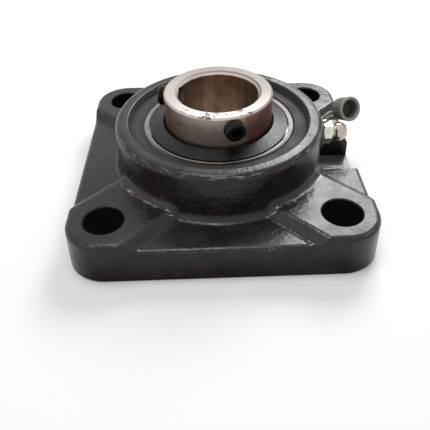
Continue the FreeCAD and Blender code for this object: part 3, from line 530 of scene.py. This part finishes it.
class BEARING_OT_rings(bpy.types.Operator):
    """Finish the ground rings"""

    bl_idname = "bearing.rings"
    bl_label = "Rings"

    def execute(self, context):
        self.inner_ring(finishes(), sizes())
        self.outer_ring(finishes(), sizes())
        return {"FINISHED"}

    def inner_ring(self, looks, size):
        """Bright ground steel with a brown film, painted highlight streaks and spots."""
        steel = Finish("ground_ring", Metallic=1.0, Anisotropic=0.4)
        radius = steel.radius()
        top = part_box("inner_ring")[1].z
        bore = 1 - radius.rise(size.bore + 0.1 * MM, size.bore + 0.6 * MM)
        edge = steel.z.rise(top - 0.55 * MM, top - 0.35 * MM)
        side = radius.band(size.inner_ring + 0.05 * MM, 0.4 * MM) * (1 - edge)
        # The side takes the lighter copy of the steel, as painted light.
        shade = steel.mix(side, looks.steel, looks.lit_steel_wall)
        shade = steel.mix(bore, shade, looks.steel_bore)

        # The brown film, in patches that look to three sides.
        fine = steel.streaks(60.0, 30.0)
        broad = steel.streaks(2.2, 3.0).rise(0.42, 0.66)
        mottle = steel.noise(170.0, 4.0, 0.65)
        browned = steel.facing(-40.0, 36.0) + steel.facing(-160.0, 38.0) * 0.8
        browned = browned + steel.facing(30.0, 70.0) * 0.5
        film = side + bore * 0.3 + edge * steel.facing(-185.0, 60.0) * 0.12
        film = film * (browned * 0.9 + broad * 0.25 + mottle.rise(0.45, 0.7) * 0.45).least(1.0)
        shade = steel.mix(film + fine * 0.08, shade, looks.steel_tint)

        # Painted highlights: bright upright streaks on the wall and in the bore.
        on_wall = steel.facing(-115.0, 8.0) * 1.3 + steel.facing(-96.0, 5.0) + steel.facing(-68.0, 5.0) * 0.8
        in_bore = steel.facing(103.0, 12.0) * 1.5 + steel.facing(62.0, 6.0) * 0.5
        painted_streaks = (side * on_wall + bore * in_bore) * (0.4 + mottle)
        shade = steel.mix((painted_streaks * 0.8).least(1.0), shade, looks.lit_steel_wall)

        # Painted shade: the top face is greyer towards the lamp; its front edge is stained.
        lamp_side_shade = edge * steel.facing(50.0, 130.0)
        shade = steel.mix(lamp_side_shade * 0.75 + edge * 0.2, shade, looks.shaded_steel)
        shade = steel.mix(bore * (1 - mottle.rise(0.3, 0.6)) * 0.45, shade, looks.stain)
        front_spots = edge * steel.facing(-85.0, 60.0) * steel.noise(330.0, 4.0, 0.7).rise(0.54, 0.6)
        side_spots = side * steel.noise(900.0, 2.0, 0.6).rise(0.7, 0.76) * 0.7
        spots = front_spots + side_spots
        shade = steel.mix(spots * 0.8, shade, looks.stain)
        roughness = 0.24 + side * 0.08 + edge * 0.14 + lamp_side_shade * 0.16 + mottle * 0.16 + spots * 0.3
        steel.set(Base_Color=shade, Roughness=roughness - painted_streaks * 0.04)
        steel.bump(steel.turning(3000.0) * 0.6 + fine * 0.5, 0.005 * MM)
        dress(["inner_ring"], steel)

    def outer_ring(self, looks, size):
        """Duller steel, with painted shade at its outer edge in front and on its right side."""
        rim = Finish("ground_rim", Metallic=1.0)
        haze = rim.noise(260.0, 3.0, 0.6)
        shade = rim.mix(haze.rise(0.4, 0.7) * 0.4, looks.shaded_steel, looks.stain)
        # Painted shade: darker at the outer edge in front and on the right side.
        shaded = rim.radius().rise(size.outer_edge, size.outer_edge + 0.35 * MM) * rim.facing(-90.0, 80.0)
        shade = rim.mix((shaded + rim.facing(20.0, 100.0) * 0.45).least(1.0), shade, looks.paint)
        rim.set(Base_Color=shade, Roughness=0.38 + haze * 0.12)
        rim.bump(rim.turning(3000.0), 0.004 * MM)
        dress(["outer_ring"], rim)


class BEARING_OT_rolling(bpy.types.Operator):
    """Finish the balls, the cage and its rivets"""

    bl_idname = "bearing.rolling"
    bl_label = "Balls and cage"

    def execute(self, context):
        looks = finishes()
        ball = Finish("polished_ball", Metallic=1.0)
        haze = ball.noise(900.0, 2.0)
        ball.set(Base_Color=ball.mix(haze * 0.3, looks.ball, looks.steel), Roughness=0.06 + haze * 0.08)
        names = [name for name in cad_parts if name.startswith("ball_")]
        dress([*names, "nipple_ball"], ball)

        sheet = Finish("pressed_sheet", Metallic=1.0)
        haze = sheet.noise(500.0, 3.0)
        sheet.set(Base_Color=sheet.mix(haze * 0.5, looks.sheet, looks.steel_tint), Roughness=0.3 + haze * 0.2)
        sheet.bump(sheet.noise(2500.0, 2.0), 0.01 * MM)
        dress(["cage_upper", "cage_lower", "cage_rivets"], sheet)
        return {"FINISHED"}


class BEARING_OT_seals(bpy.types.Operator):
    """Finish the seals and the slingers"""

    bl_idname = "bearing.seals"
    bl_label = "Seals and slingers"

    def execute(self, context):
        looks = finishes()
        plate = Finish("seal_plate", Metallic=1.0)
        haze = plate.turning(1500.0)
        shade = plate.mix(haze * 0.5, looks.sheet, looks.steel_tint)
        plate.set(Base_Color=shade, Roughness=0.32 + haze * 0.15)
        plate.bump(haze, 0.01 * MM)
        dress(["seal_plate_upper", "seal_plate_lower"], plate)

        rubber = Finish("seal_rubber")
        haze = rubber.noise(700.0, 3.0)
        shade = rubber.mix(haze * 0.4, looks.rubber, looks.worn_and_highlight)
        rubber.set(Base_Color=shade, Roughness=0.6 + haze * 0.2)
        rubber.bump(haze, 0.02 * MM)
        dress(["seal_lip_upper", "seal_lip_lower"], rubber)

        slinger = Finish("dark_slinger", Specular_IOR_Level=0.25, Anisotropic=0.4)
        rings = slinger.turning(900.0)
        haze = slinger.noise(160.0, 3.0, 0.6)
        dust = slinger.noise(1700.0, 2.0, 0.6).rise(0.64, 0.72)
        shade = slinger.mix(rings * 0.04 + haze * 0.03, looks.slinger, looks.worn_and_highlight)
        shade = slinger.mix(dust * 0.35, shade, looks.steel)
        # Painted shade: a dark band at the inner rim, where the slinger meets the inner ring, and darker
        # patches on its front.
        inner_ring = sizes().inner_ring
        foot = 1 - slinger.radius().rise(inner_ring + 0.45 * MM, inner_ring + 1.05 * MM)
        dark = (foot + slinger.facing(-95.0, 60.0) * haze * 0.8).least(1.0)
        shade = slinger.mix(dark, shade, looks.hole)
        slinger.set(Base_Color=shade, Metallic=dark * 0.6 + 0.4, Roughness=0.2 + haze * 0.14 + rings * 0.05)
        slinger.bump(rings * 0.5 + slinger.noise(1800.0) * 0.6, 0.012 * MM)
        dress(["slinger_upper", "slinger_lower"], slinger)
        return {"FINISHED"}


class BEARING_OT_screws(bpy.types.Operator):
    """Make the two set screws, with thread and socket"""

    bl_idname = "bearing.screws"
    bl_label = "Set screws"

    def execute(self, context):
        looks = finishes()
        size = sizes()
        oxide = Finish("black_oxide", Metallic=0.3, Specular_IOR_Level=0.3)
        haze = oxide.noise(900.0, 3.0, 0.6)
        shade = oxide.mix(haze.rise(0.6, 0.8) * 0.4, looks.screw, looks.steel_tint)
        oxide.set(Base_Color=shade, Roughness=0.16 + haze * 0.25)
        oxide.bump(haze, 0.01 * MM)
        for name, body in (("set_screw_front", "screw_front"), ("set_screw_left", "screw_left")):
            middle = centre_of(name)
            outwards = Vector((middle.x, middle.y, 0)).normalized()
            end = outwards * size.screw_reach + Vector((0, 0, middle.z))
            screw = threaded(f"{name}_piece", size)
            combined(screw, hexagon("socket", size.screw_socket, -size.screw_socket_depth, MM), "DIFFERENCE")
            placed(screw, end, outwards)
            finished(screw, oxide, body, [name], angle=0.5)
        return {"FINISHED"}


def wound(name, profile, pitch, turns, steps):
    """A line of (radius, height) points wound about the Z axis, with open ends."""
    return modified(
        drawn(name, profile),
        "SCREW",
        axis="Z",
        angle=math.tau,
        screw_offset=pitch,
        iterations=turns,
        steps=steps,
        render_steps=steps,
        use_merge_vertices=True,
        use_normal_calculate=True,
    )


def threaded(name, size):
    """A headless screw from its outer end at the origin down, with a thread of one start."""
    radius, long, pitch = size.screw / 2, size.screw_length, size.screw_pitch
    root = radius - size.screw_thread

    # A coil longer than the screw, cut to length and closed at its ends.
    start = -long - pitch * 2
    turns = int((long + pitch * 4) / pitch)
    profile = [(root, start), (root, start + pitch * 0.15), (radius, start + pitch * 0.5)]
    profile += [(radius, start + pitch * 0.62), (root, start + pitch)]
    coil = wound(name, profile, pitch, turns, size.screw_steps)
    bpy.ops.object.mode_set(mode="EDIT")
    tidy_mesh()
    for height, outer in ((0.0, True), (-long, False)):
        bpy.ops.mesh.select_all(action="SELECT")
        plane = {"plane_co": (0, 0, height), "plane_no": (0, 0, 1)}
        bpy.ops.mesh.bisect(**plane, clear_outer=outer, clear_inner=not outer)
    bpy.ops.mesh.select_all(action="SELECT")
    bpy.ops.mesh.fill_holes(sides=0)
    tidy_mesh()
    only(coil)

    # Trimmed to the screw's outline, with a bevel outside and a cup point inside.
    bevel = 0.45 * MM
    envelope = [
        (0, 0),
        (radius - bevel, 0),
        (radius, -bevel),
        (radius, -long + radius * 0.28),
        (radius * 0.72, -long),
        (radius * 0.5, -long),
        (0, -long + 0.7 * MM),
    ]
    return combined(coil, turned("envelope", envelope, size.screw_steps), "INTERSECT")


class BEARING_OT_nipple(bpy.types.Operator):
    """Make the grease nipple with its chamfered hexagon"""

    bl_idname = "bearing.nipple"
    bl_label = "Grease nipple"

    def execute(self, context):
        looks = finishes()
        size = sizes()
        low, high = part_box("nipple_body")
        middle = (low + high) / 2
        tip = high.x - low.x
        hex_low, hex_high = tip - 7.9 * MM, tip - 5.0 * MM

        # Shank, neck and head, with a way through them that is wider where the spring lies.
        shank, neck, head = 2.95 * MM, 2.45 * MM, 3.25 * MM
        way, channel = 0.65 * MM, 1.25 * MM
        profile = [
            (way, 0),
            (shank - 0.4 * MM, 0),
            (shank, 0.4 * MM),
            (shank, hex_low + 0.3 * MM),
            (neck, hex_low + 0.3 * MM),
            (neck, tip - 4.45 * MM),
            (neck + 0.12 * MM, tip - 4.25 * MM),
            (head - 0.12 * MM, tip - 3.6 * MM),
            (head, tip - 3.4 * MM),
            (head, tip - 2.0 * MM),
            (head - 0.12 * MM, tip - 1.75 * MM),
            (2.3 * MM, tip - 0.14 * MM),
            (2.15 * MM, tip),
            (way + 0.08 * MM, tip),
            (way, tip - 0.08 * MM),
            (way, tip - 0.35 * MM),
            (channel, tip - 0.95 * MM),
            (channel, tip - 6.8 * MM),
            (way, tip - 6.9 * MM),
        ]
        body = turned("nipple_body_piece", closed(profile))

        # The hexagon, its corners trimmed by a lens and its middle left open.
        nut = hexagon("hexagon", size.hex_flats, hex_low, hex_high)
        flat = size.hex_flats / 2
        corner = flat / math.cos(math.pi / 6)
        face = flat * 0.97
        rise = (corner - face) * 0.55
        beyond = 0.01 * MM
        lens = [
            (0, hex_low - beyond),
            (face, hex_low - beyond),
            (corner, hex_low + rise),
            (corner, hex_high - rise),
            (face, hex_high + beyond),
            (0, hex_high + beyond),
        ]
        combined(nut, turned("lens", lens), "INTERSECT")
        combined(nut, prism("core", 48, channel * 2, hex_low - MM, hex_high + MM), "DIFFERENCE")
        combined(body, nut, "UNION")
        placed(body, (low.x, middle.y, middle.z), (1, 0, 0), math.pi / 2)

        zinc = Finish("bright_zinc", Metallic=1.0)
        haze = zinc.noise(400.0, 3.0, 0.6)
        head_side = zinc.x.rise(low.x + hex_high, low.x + hex_high + MM)
        stained = (haze.rise(0.5, 0.75) * 0.4 + head_side * 0.6).least(1.0)
        shade = zinc.mix(stained, looks.zinc, looks.zinc_stain)
        zinc.set(Base_Color=shade, Roughness=0.14 + haze * 0.16)
        zinc.bump(zinc.noise(1800.0, 2.0), 0.008 * MM)
        finished(body, zinc, "housing", ["nipple_body"], angle=0.5)
        return {"FINISHED"}


class BEARING_OT_spring(bpy.types.Operator):
    """Wind the spring behind the nipple's check ball"""

    bl_idname = "bearing.spring"
    bl_label = "Nipple spring"

    def execute(self, context):
        looks = finishes()
        low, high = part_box("nipple_spring")
        middle = (low + high) / 2
        wire = sizes().spring_wire / 2
        turns, turn_steps, wire_steps = 5, 32, 10
        angles = [math.tau * step / wire_steps for step in range(wire_steps)]
        coil_radius = (high.y - low.y) / 2 - wire
        profile = [(coil_radius + wire * math.cos(angle), wire * math.sin(angle)) for angle in angles]
        pitch = (high.x - low.x - wire * 2 - 0.04 * MM) / turns
        coil = wound("nipple_spring_piece", closed(profile), pitch, turns, turn_steps)
        bpy.ops.object.mode_set(mode="EDIT")
        tidy_mesh()
        bpy.ops.mesh.fill_holes(sides=0)
        tidy_mesh()
        placed(only(coil), (low.x + wire, middle.y, middle.z), (1, 0, 0))

        steel = Finish("spring_wire", Metallic=1.0)
        haze = steel.noise(2500.0)
        steel.set(Base_Color=steel.mix(haze * 0.3, looks.sheet, looks.steel), Roughness=0.2 + haze * 0.1)
        steel.bump(haze, 0.003 * MM)
        finished(coil, steel, "housing", ["nipple_spring"], angle=1.0)
        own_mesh(coil)
        return {"FINISHED"}


class BEARING_OT_cap(bpy.types.Operator):
    """Make the nipple's cap with its loop and strap"""

    bl_idname = "bearing.cap"
    bl_label = "Nipple cap"

    closed_end = Vector((42.4, 9.6, 22.3)) * MM
    axis = Vector((0.389, -0.814, 0.431)).normalized()
    loop_low = 33.52 * MM
    loop_thick = 1.06 * MM

    def execute(self, context):
        looks = finishes()

        # The cup, outside and inside, from the middle of its closed end.
        profile = [
            (0, 0),
            (2.9 * MM, 0),
            (3.45 * MM, 0.2 * MM),
            (3.78 * MM, 0.7 * MM),
            (4.02 * MM, 4.9 * MM),
            (4.14 * MM, 5.2 * MM),
            (4.15 * MM, 5.85 * MM),
            (3.95 * MM, 6.16 * MM),
            (3.45 * MM, 6.2 * MM),
            (3.15 * MM, 5.95 * MM),
            (3.05 * MM, 5.3 * MM),
            (3.1 * MM, 1.7 * MM),
            (2.7 * MM, 1.25 * MM),
            (0, 1.2 * MM),
        ]
        cup = placed(turned("nipple_cap_piece", profile), self.closed_end, self.axis)

        # The loop that holds on the nipple behind its hexagon.
        nipple = centre_of("nipple_body")
        ring = [
            (3.3 * MM, 0.15 * MM),
            (3.45 * MM, 0),
            (5.0 * MM, 0),
            (5.2 * MM, 0.2 * MM),
            (5.2 * MM, 0.86 * MM),
            (5.0 * MM, self.loop_thick),
            (3.45 * MM, self.loop_thick),
            (3.3 * MM, 0.9 * MM),
        ]
        loop = placed(turned("loop", closed(ring)), (self.loop_low, nipple.y, nipple.z), (1, 0, 0))

        # The strap's two strands, run together with cup and loop into one moulding.
        upper = self.strand("upper", nipple, loop_turn=8.0, cup_turn=200.0, bulge=(0.6, 0, 1.6))
        lower = self.strand("lower", nipple, loop_turn=60.0, cup_turn=250.0, bulge=(0.8, 0, 0.4))
        only()
        for piece in (cup, loop, upper, lower):
            piece.select_set(True)
        bpy.context.view_layer.objects.active = cup
        bpy.ops.object.join()
        modified(cup, "REMESH", mode="VOXEL", voxel_size=0.14 * MM, use_smooth_shade=True)
        modified(cup, "SMOOTH", factor=0.5, iterations=4)

        rubber = Finish("moulded_cap")
        haze = rubber.noise(300.0, 3.0, 0.6)
        along = rubber.along(tuple(self.axis)) - self.closed_end.dot(self.axis)
        rim = along.rise(5.1 * MM, 5.9 * MM)
        middle = self.closed_end + self.axis * 4 * MM
        near = 1 - rubber.away(tuple(middle)).rise(5.5 * MM, 6.5 * MM)
        shade = rubber.mix(rim * near * 0.9, looks.cap, looks.cap_rim)
        shade = rubber.mix(haze.rise(0.55, 0.75) * 0.35, shade, looks.wall_shade_and_brown)
        rubber.set(Base_Color=shade, Roughness=0.42 + haze * 0.2)
        rubber.bump(rubber.noise(1200.0, 2.0), 0.015 * MM)
        finished(cup, rubber, "housing", ["nipple_cap"], angle=1.0)
        return {"FINISHED"}

    def strand(self, name, nipple, loop_turn, cup_turn, bulge):
        """One strand of the strap, from an angle on the loop to one on the cup, bowed by `bulge` in mm."""
        across = Vector((0, 0, 1)).cross(self.axis).normalized()
        upwards = self.axis.cross(across)
        on_loop = 4.25 * MM
        on_cup = 3.15 * MM
        thick = sizes().strap / 2
        angle = math.radians(loop_turn)
        outwards = Vector((0, math.sin(angle), math.cos(angle)))
        start = Vector((self.loop_low + self.loop_thick / 2, nipple.y, nipple.z)) + outwards * on_loop
        angle = math.radians(cup_turn)
        outwards = across * math.cos(angle) + upwards * math.sin(angle)
        end = self.closed_end + self.axis * thick + outwards * on_cup
        middle = (start + end) / 2 + Vector(bulge) * MM
        only()
        curve = bpy.data.curves.new(f"strand_{name}", "CURVE")
        curve.dimensions = "3D"
        spline = curve.splines.new("BEZIER")
        spline.bezier_points.add(2)
        for point, place in zip(spline.bezier_points, (start, middle, end)):
            point.co = place
            point.handle_left_type = point.handle_right_type = "AUTO"
        curve.bevel_depth = thick
        curve.bevel_resolution = 6
        curve.resolution_u = 16
        curve.use_fill_caps = True
        item = bpy.data.objects.new(f"strand_{name}", curve)
        bpy.context.scene.collection.objects.link(item)
        only(item)
        bpy.ops.object.convert(target="MESH")
        return only(item)


class BEARING_OT_stage(bpy.types.Operator):
    """Add the floor, the lamps, the room light and the camera"""

    bl_idname = "bearing.stage"
    bl_label = "Stage"

    def execute(self, context):
        settings = context.scene.bearing_stage
        self.floor(settings)
        self.room(settings)
        centre = Vector((0, 0, 15 * MM))
        lamps = (
            ("key", (0.17, 0.36, 0.35), 0.24, settings.key),
            ("fill", (-0.36, -0.3, 0.34), 0.4, settings.fill),
            ("top", (-0.05, 0.02, 0.55), 0.18, settings.top),
        )
        for name, place, side, energy in lamps:
            lamp = bpy.data.lights.new(name, "AREA")
            lamp.energy = energy
            lamp.size = side
            item = bpy.data.objects.new(name, lamp)
            item.location = place
            item.rotation_euler = (centre - Vector(place)).to_track_quat("-Z", "Y").to_euler()
            bpy.context.scene.collection.objects.link(item)
        self.camera(settings)
        bpy.context.scene.view_settings.view_transform = "Standard"
        return {"FINISHED"}

    def floor(self, settings):
        only()
        bpy.ops.mesh.primitive_grid_add(x_subdivisions=8, y_subdivisions=8, size=settings.floor_size)
        floor = bpy.context.object
        floor.name = "floor"
        finish = Finish("pale_floor", Roughness=0.8, Specular_IOR_Level=0.1, Emission_Strength=1.0)
        tone = finish.noise(3.0, 2.0)
        far = finish.radius().rise(120 * MM, 700 * MM)
        glow = finish.mix(far, [settings.floor_glow] * 3, [settings.far_glow] * 3)
        glow = finish.mix(finish.seen(), (0.0, 0.0, 0.0), glow)
        shade = finish.mix(tone * 0.1, settings.floor, settings.floor_shade)
        finish.set(Base_Color=shade, Emission_Color=glow)
        floor.data.materials.append(finish.material)

    def room(self, settings):
        world = bpy.data.worlds.new("room")
        world.use_nodes = True
        bpy.context.scene.world = world
        air = Graph(world.node_tree, "Background")
        air.set(Color=air.mix(air.seen(), [settings.room] * 3, (1.0, 1.0, 1.0)), Strength=1.0)

    def camera(self, settings):
        """The photograph's view of the bearing."""
        data = bpy.data.cameras.new("camera")
        data.sensor_width = 36.0
        data.lens = settings.lens
        data.clip_start = 0.01
        camera = bpy.data.objects.new("camera", data)

        # The camera's own axes and place, as fitted to the photograph.
        right = Vector((0.99938, -0.03165, -0.01557))
        up = Vector((0.03271, 0.66612, 0.74513))
        back = Vector((-0.01321, -0.74517, 0.66674))
        place = Vector((-4.3845, -145.963, 113.739)) * MM
        turn = Matrix((right, up, back)).transposed().to_4x4()
        camera.matrix_world = Matrix.Translation(place) @ turn
        bpy.context.scene.collection.objects.link(camera)
        bpy.context.scene.camera = camera


class BEARING_PT_panel(bpy.types.Panel):
    """Lists the pieces of the bearing"""

    bl_idname = "BEARING_PT_panel"
    bl_label = "Bearing"
    bl_space_type = "VIEW_3D"
    bl_region_type = "UI"
    bl_category = "Bearing"

    def draw(self, context):
        for operator in OPERATORS:
            self.layout.operator(operator.bl_idname)
        for group in GROUPS:
            settings = getattr(context.scene, group)
            for name in settings.bl_rna.properties.keys():
                if name not in ("rna_type", "name"):
                    self.layout.prop(settings, name)


OPERATORS = (
    BEARING_OT_housing,
    BEARING_OT_rings,
    BEARING_OT_rolling,
    BEARING_OT_seals,
    BEARING_OT_screws,
    BEARING_OT_nipple,
    BEARING_OT_spring,
    BEARING_OT_cap,
    BEARING_OT_stage,
)
GROUPS = {
    "bearing_finishes": BearingFinishes,
    "bearing_sizes": BearingSizes,
    "bearing_stage": StageSettings,
}


def register():
    for kind in (*GROUPS.values(), *OPERATORS, BEARING_PT_panel):
        bpy.utils.register_class(kind)
    for name, kind in GROUPS.items():
        setattr(bpy.types.Scene, name, PointerProperty(type=kind))


def unregister():
    for name in GROUPS:
        delattr(bpy.types.Scene, name)
    for kind in (BEARING_PT_panel, *reversed(OPERATORS), *reversed(GROUPS.values())):
        bpy.utils.unregister_class(kind)


def main():
    register()
    for operator in OPERATORS:
        group, name = operator.bl_idname.split(".")
        getattr(getattr(bpy.ops, group), name)()


if __name__ == "__main__":
    main()
